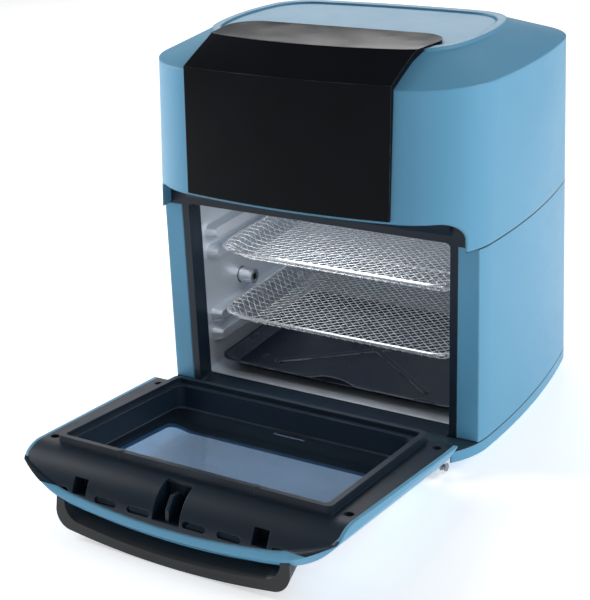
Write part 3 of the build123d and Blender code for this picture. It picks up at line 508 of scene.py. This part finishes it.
def trayTree(material):
    sizes = {
        "Span": 0.3, "Pitch": 0.006, "Wire": 0.0005, "Weave": 0.0004, "Turn": 0.785,
        "Half Width": 0.1, "Half Depth": 0.1, "Corner": 0.03, "Foot": 0.02, "Dish": 0.014,
        "Centre X": 0.0, "Centre Y": 0.0, "Rim Z": 0.0,
    }
    tree, size = newGeometryTree("trayWeave", sizes)
    families = addNode(tree, "GeometryNodeJoinGeometry")
    for alongX in (True, False):
        tree.links.new(wireFamily(tree, size, alongX), families.inputs[0])
    spin = addNode(tree, "ShaderNodeCombineXYZ", {"Z": size["Turn"]}).outputs[0]
    turned = addNode(tree, "GeometryNodeTransform", {"Geometry": families.outputs[0], "Rotation": spin})
    # distance inwards from the rounded outline of the rim
    place = addNode(tree, "GeometryNodeInputPosition").outputs[0]
    corner = addNode(tree, "ShaderNodeCombineXYZ", {
        "X": calculate(tree, "SUBTRACT", size["Half Width"], size["Corner"]),
        "Y": calculate(tree, "SUBTRACT", size["Half Depth"], size["Corner"]),
    }).outputs[0]
    flat = vectorMath(tree, "MULTIPLY", place, (1, 1, 0))
    beyond = vectorMath(tree, "SUBTRACT", vectorMath(tree, "ABSOLUTE", flat), corner)
    outside = vectorMath(tree, "MAXIMUM", beyond, (0, 0, 0))
    reach = addNode(tree, "ShaderNodeVectorMath", {0: outside}, operation="LENGTH").outputs["Value"]
    parts = addNode(tree, "ShaderNodeSeparateXYZ", {0: beyond}).outputs
    within = calculate(tree, "MINIMUM", calculate(tree, "MAXIMUM", parts[0], parts[1]), 0.0)
    inward = calculate(tree, "SUBTRACT", size["Corner"], calculate(tree, "ADD", reach, within))
    margin = calculate(tree, "MULTIPLY", size["Pitch"], -1.0)
    trimmed = addNode(tree, "GeometryNodeDeleteGeometry", {
        "Geometry": turned.outputs[0], "Selection": calculate(tree, "LESS_THAN", inward, margin),
    }, domain="POINT")
    # wires that end past the rim are drawn back onto it
    outwards = vectorMath(tree, "NORMALIZE", outside)
    direction = vectorMath(tree, "MULTIPLY", outwards, vectorMath(tree, "SIGN", flat))
    pull = addNode(tree, "ShaderNodeVectorMath", {
        0: direction, "Scale": calculate(tree, "MINIMUM", inward, 0.0)}, operation="SCALE").outputs[0]
    settings = {
        "Value": inward, "From Min": trayMesh["shoulder"], "From Max": size["Foot"],
        "To Min": 0.0, "To Max": size["Dish"],
    }
    fall = addNode(tree, "ShaderNodeMapRange", settings, interpolation_type="SMOOTHSTEP")
    down = calculate(tree, "MULTIPLY", fall.outputs["Result"], -1.0)
    drop = addNode(tree, "ShaderNodeCombineXYZ", {"Z": down}).outputs[0]
    dished = addNode(tree, "GeometryNodeSetPosition", {
        "Geometry": trimmed.outputs[0], "Offset": vectorMath(tree, "ADD", pull, drop)})
    lines = addNode(tree, "GeometryNodeMeshToCurve", {"Mesh": dished.outputs[0]})
    bent = addNode(tree, "GeometryNodeCurveSplineType", {"Curve": lines.outputs[0]},
                   spline_type="CATMULL_ROM")
    finer = addNode(tree, "GeometryNodeSetSplineResolution", {
        "Geometry": bent.outputs[0], "Resolution": trayMesh["smoothness"]})
    section = addNode(tree, "GeometryNodeCurvePrimitiveCircle", {
        "Resolution": trayMesh["sides"], "Radius": size["Wire"]})
    tubes = addNode(tree, "GeometryNodeCurveToMesh", {
        "Curve": finer.outputs[0], "Profile Curve": section.outputs[0], "Fill Caps": True})
    centre = addNode(tree, "ShaderNodeCombineXYZ", {
        "X": size["Centre X"], "Y": size["Centre Y"], "Z": size["Rim Z"]}).outputs[0]
    placed = addNode(tree, "GeometryNodeTransform", {"Geometry": tubes.outputs[0], "Translation": centre})
    closeTree(tree, placed.outputs[0], material)
    return tree


def addTrayWeave(tree, level):
    low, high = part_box(level + "_tray_rim")
    middle = (low + high) / 2
    weave = runTree(level + "TrayWeave", tree, {
        "Span": (high.x - low.x) * trayMesh["overSize"], "Pitch": trayMesh["pitch"],
        "Wire": trayMesh["wire"], "Weave": trayMesh["weave"], "Turn": trayMesh["turn"],
        "Half Width": (high.x - low.x) / 2 - trayMesh["rimGap"],
        "Half Depth": (high.y - low.y) / 2 - trayMesh["rimGap"],
        "Corner": trayMesh["corner"], "Foot": trayMesh["foot"], "Dish": trayMesh["depth"],
        "Centre X": middle.x, "Centre Y": middle.y, "Rim Z": middle.z,
    })
    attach(weave, level + "_tray")
    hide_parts(level + "_tray_mesh")
    print(weave.name, "faces:", len(weave.data.polygons))


weaveTree = trayTree(chromeWire)
for level in ("upper", "lower"):
    addTrayWeave(weaveTree, level)


# door shade skin: a thin dark skin on the inside of the painted shell, as painted shade for the shadow
# inside the door

doorShadeSkin = {
    "gap": 0.0004, "facing": 0.25, "merge": 0.00001,
    "keepBelow": 0.009, "sideInset": 0.006,  # bare strips left along the shell's edges
}


def addDoorShadeSkin(material):
    # the door is turned shut in thought, so that its depth can be read along Y
    hinge = next(joint for joint in frame["joints"] if joint["name"] == "door_hinge")
    pivot = Matrix.Translation(Vector(hinge["pos_m"]))
    closing = Matrix.Rotation(radians(hinge["range_deg"][0]), 3, Vector(hinge["axis"]))
    closed = pivot @ closing.to_4x4() @ pivot.inverted()
    inwards = closing.inverted() @ Vector((0, 1, 0))
    low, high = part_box("door_shell")
    net = bmesh.new()
    net.from_mesh(nodes["door_shell"].data)
    bmesh.ops.remove_doubles(net, verts=net.verts, dist=doorShadeSkin["merge"])
    back = max((closed @ vertex.co).y for vertex in net.verts)
    spare = []
    for face in net.faces:
        centre = face.calc_center_median()
        deep = back - (closed @ centre).y > doorShadeSkin["keepBelow"]
        middle = low.x + doorShadeSkin["sideInset"] < centre.x < high.x - doorShadeSkin["sideInset"]
        if not (deep and middle and face.normal.dot(inwards) > doorShadeSkin["facing"]):
            spare.append(face)
    bmesh.ops.delete(net, geom=spare, context="FACES")
    for vertex in net.verts:
        vertex.co += vertex.normal * doorShadeSkin["gap"]
    mesh = bpy.data.meshes.new("doorShadeSkin")
    net.to_mesh(mesh)
    net.free()
    # painted shade: dark plastic laid over the shell's inside where the door is in shadow
    mesh.materials.append(material)
    shadeSkin = bpy.data.objects.new("doorShadeSkin", mesh)
    scene.collection.objects.link(shadeSkin)
    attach(shadeSkin, "door")
    print("door lining faces:", len(mesh.polygons))


addDoorShadeSkin(blackPlastic)
